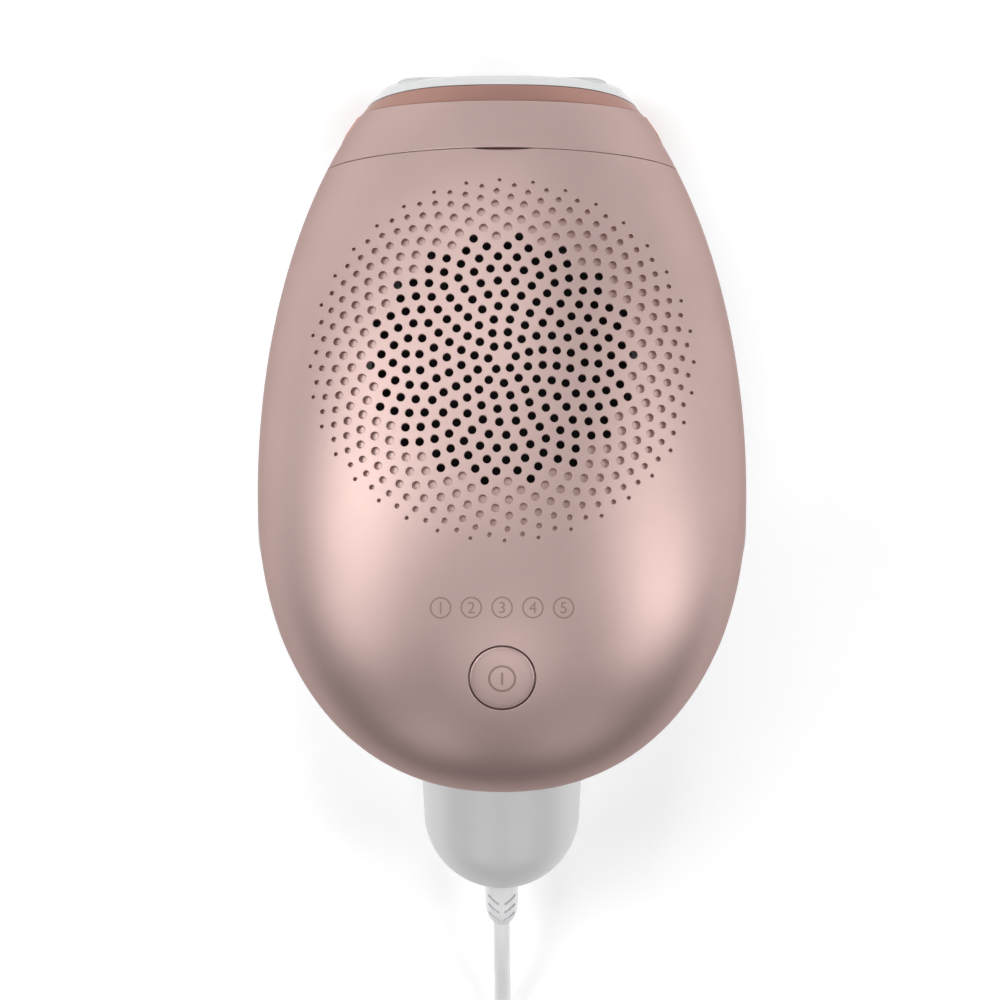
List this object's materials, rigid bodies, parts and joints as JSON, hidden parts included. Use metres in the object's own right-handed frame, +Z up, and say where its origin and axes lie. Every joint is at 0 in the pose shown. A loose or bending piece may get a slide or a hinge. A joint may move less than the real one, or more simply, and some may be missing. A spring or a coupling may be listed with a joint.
{
  "type": "ipl hair remover",
  "caption": "Corded pulsed-light hair remover: egg-shaped head with vents and one button, pull-off window cap, handle, lead and wall adapter.",
  "frame": {"origin": "on the surface that the device rests on, under the middle of its box, its lead and adapter left out", "axes": "+Z up; +Y along the surface towards the treatment window; +X across, and X = 0 is the plane that halves the device"},
  "size_m": [0.101, 0.3893, 0.089],
  "materials": {
    "rose_shell": "satin rose-gold metallic lacquer on plastic",
    "rose_button": "satin rose-gold metallic lacquer on plastic",
    "copper_trim": "darker copper metallised plastic",
    "white_lip": "glossy white plastic",
    "white_housing": "fine satin white plastic",
    "grey_ring": "light grey plastic",
    "dark_plastic": "black moulded plastic",
    "mirror_metal": "bright mirror aluminium",
    "heat_sink_metal": "matt aluminium",
    "filter_glass": "UV filter glass with a faint amber coating",
    "lamp_glass": "clear quartz tube",
    "steel": "zinc-plated steel",
    "chromed_pins": "nickel-plated brass",
    "bronze_bearing": "sintered bronze",
    "copper_winding": "enamelled copper winding on a core",
    "fan_plastic": "black glass-filled plastic",
    "board_green": "solder-masked circuit board",
    "board_parts": "moulded electronic parts",
    "capacitor_can": "aluminium can in a dark sleeve",
    "clear_guide": "clear acrylic",
    "led_white": "white LED package",
    "screen_mesh": "fine black nylon screen",
    "gold_contacts": "gold-plated contact pins",
    "lead_rubber": "light grey soft PVC",
    "adapter_white": "fine satin white plastic"
  },
  "bodies": {
    "housing": {"front_shell": "rose_shell", "back_shell": "white_housing", "handle_outer_cover": "white_housing", "handle_inner_cover": "white_housing", "window_frame": "dark_plastic", "filter_glass": "filter_glass", "lamp_reflector": "mirror_metal", "lamp_holder": "dark_plastic", "flash_lamp": "lamp_glass", "lamp_terminals": "steel", "heat_sink": "heat_sink_metal", "fan_frame": "fan_plastic", "fan_bearing": "bronze_bearing", "fan_stator": "copper_winding", "fan_screws": "steel", "chassis": "dark_plastic", "dust_screen": "screen_mesh", "contact_pins": "gold_contacts", "main_board": "board_green", "board_components": "board_parts", "control_board": "board_green", "number_leds": "led_white", "light_guides": "clear_guide", "power_switch": "board_parts", "power_button_spring": "steel", "flash_switch": "board_parts", "flash_button_spring": "steel", "switch_bracket": "dark_plastic", "flash_capacitor": "capacitor_can", "capacitor_clamp": "dark_plastic", "dc_socket": "dark_plastic", "head_screws": "steel", "lead_plug": "lead_rubber", "lead_first": "lead_rubber", "lead_last": "lead_rubber", "lead_coil": "lead_rubber", "adapter_base": "adapter_white", "adapter_cover": "adapter_white", "adapter_pins": "chromed_pins", "adapter_relief": "lead_rubber", "adapter_board": "board_green", "adapter_transformer": "board_parts"},
    "attachment": {"attachment_cap": "rose_shell", "attachment_underside": "copper_trim", "trim_ring": "copper_trim", "window_lip": "white_lip", "attachment_duct": "mirror_metal", "contact_block": "dark_plastic"},
    "safety_frame": {"safety_ring": "grey_ring"},
    "power_key": {"power_button": "rose_button", "power_switch_plunger": "dark_plastic"},
    "flash_key": {"flash_button": "grey_ring", "flash_switch_plunger": "dark_plastic"},
    "fan_wheel": {"fan_rotor": "fan_plastic", "fan_magnet": "steel", "fan_shaft": "steel"}
  },
  "joints": [
    {"name": "attachment_pull", "type": "slide", "parent": "housing", "child": "attachment", "axis": [0, 0.866, -0.5], "range_m": [0, 0.02]},
    {"name": "safety_press", "type": "slide", "parent": "attachment", "child": "safety_frame", "axis": [0, -0.866, 0.5], "range_m": [0, 0.001], "stiffness_N_per_m": 900, "springref_m": -0.0006},
    {"name": "power_press", "type": "slide", "parent": "housing", "child": "power_key", "axis": [0, -0.1634, -0.9866], "range_m": [0, 0.0008], "stiffness_N_per_m": 1800, "springref_m": -0.0006, "deforming": ["power_button_spring"]},
    {"name": "flash_press", "type": "slide", "parent": "housing", "child": "flash_key", "axis": [0, -0.227, 0.9739], "range_m": [0, 0.0015], "stiffness_N_per_m": 1200, "springref_m": -0.001, "deforming": ["flash_button_spring"]},
    {"name": "fan_spin", "type": "hinge", "parent": "housing", "child": "fan_wheel", "pos_m": [0, 0.04189, 0.05235], "axis": [0, 0.5, 0.866], "continuous": true}
  ]
}
